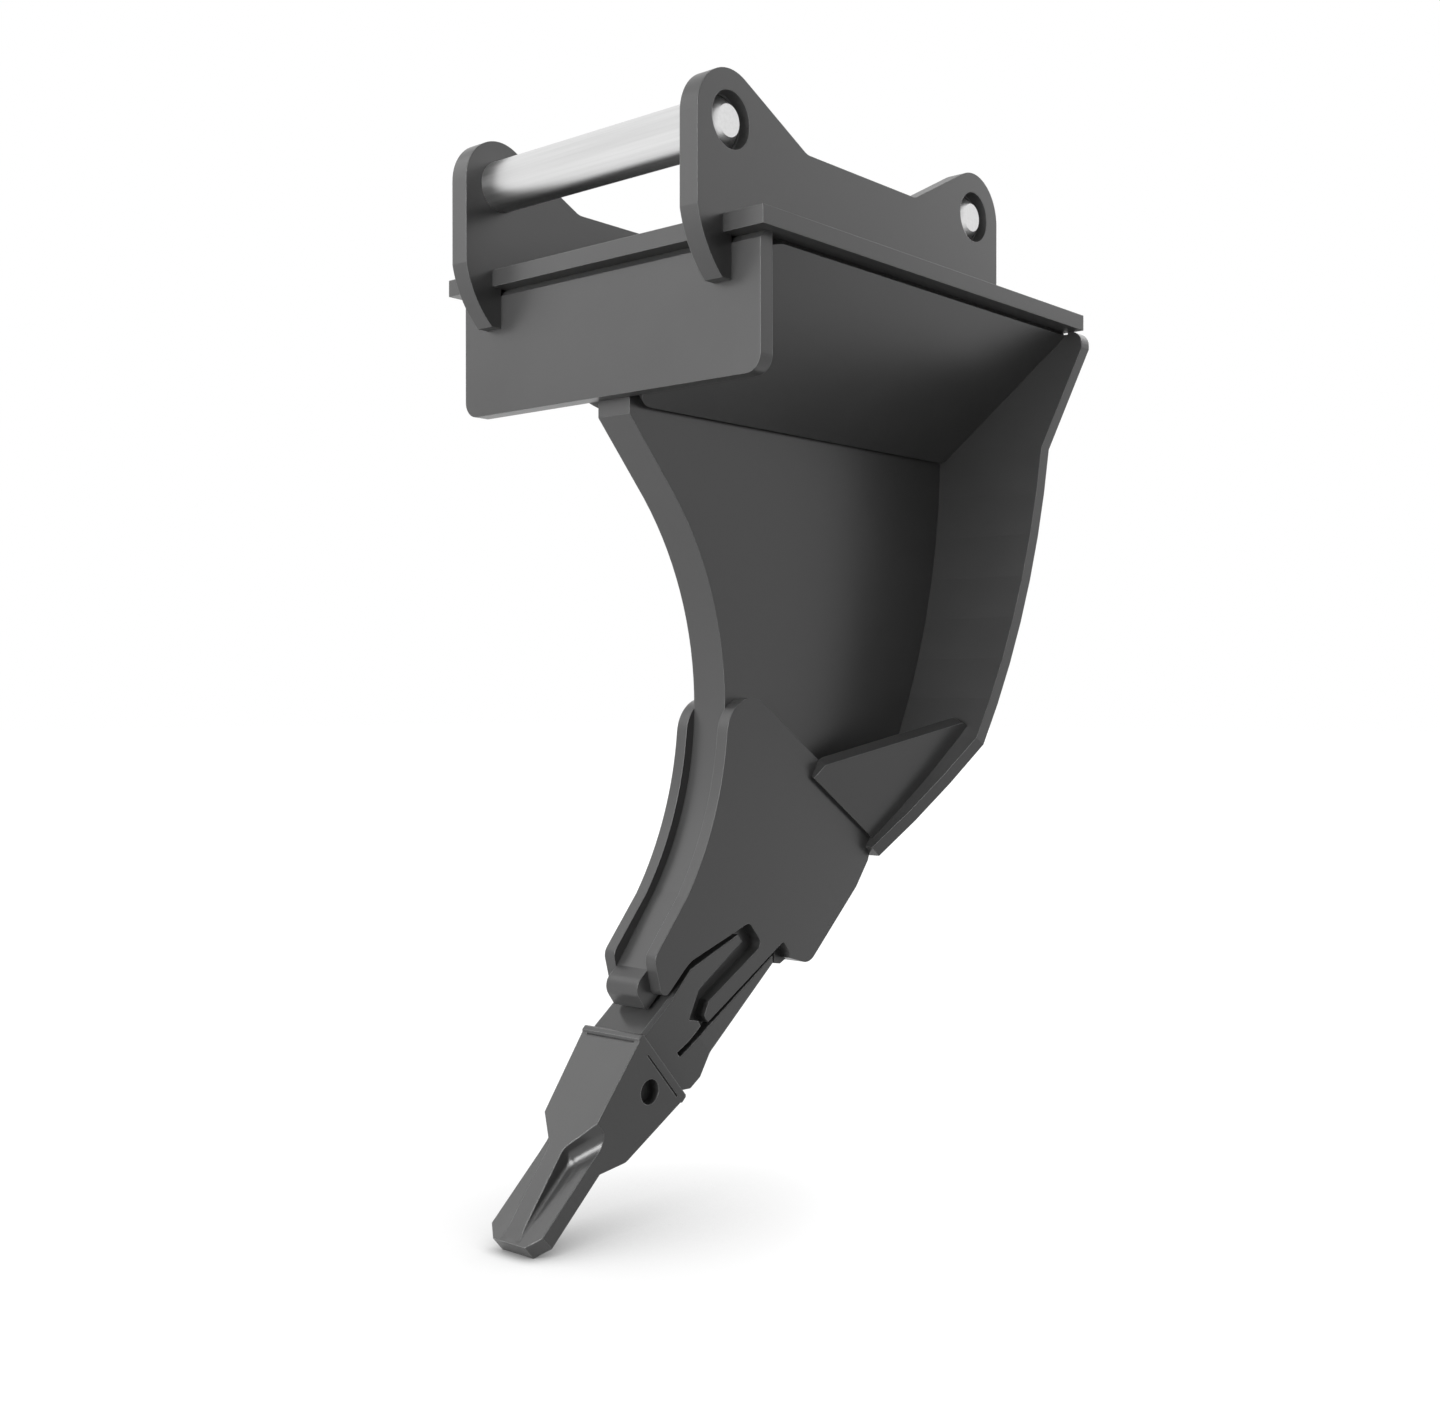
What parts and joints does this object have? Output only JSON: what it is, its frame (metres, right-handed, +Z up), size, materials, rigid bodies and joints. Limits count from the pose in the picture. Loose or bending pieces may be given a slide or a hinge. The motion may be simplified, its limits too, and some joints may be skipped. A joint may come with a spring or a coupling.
{
  "type": "ripper shank tooth",
  "caption": "Excavator ripper shank with a replaceable tooth on a fork adapter, braced by plates and hung on two pins for a quick coupler.",
  "frame": {"origin": "middle of the front pin, on its axis", "axes": "+X across the shank along both pins, towards the side seen in the picture; +Y from the front pin to the rear pin, away from the tooth's digging side; +Z up, square to the top plate, away from the tooth"},
  "size_m": [0.5, 0.8247, 1.2773],
  "materials": {
    "paint": "satin",
    "cast_paint": "satin",
    "bright_steel": "turned",
    "black_steel": "blackened"
  },
  "bodies": {
    "root": {"front_pin": "bright_steel", "rear_pin": "bright_steel", "ear_right": "paint", "ear_left": "paint", "top_plate": "paint", "front_plate": "paint", "slant_gusset_right": "paint", "slant_gusset_left": "paint", "rear_plate": "paint", "shank": "paint", "cheek_right": "paint", "cheek_left": "paint", "lower_gusset_right": "paint", "lower_gusset_left": "paint", "adapter": "cast_paint", "tooth": "cast_paint", "tooth_pin": "black_steel"}
  },
  "joints": []
}
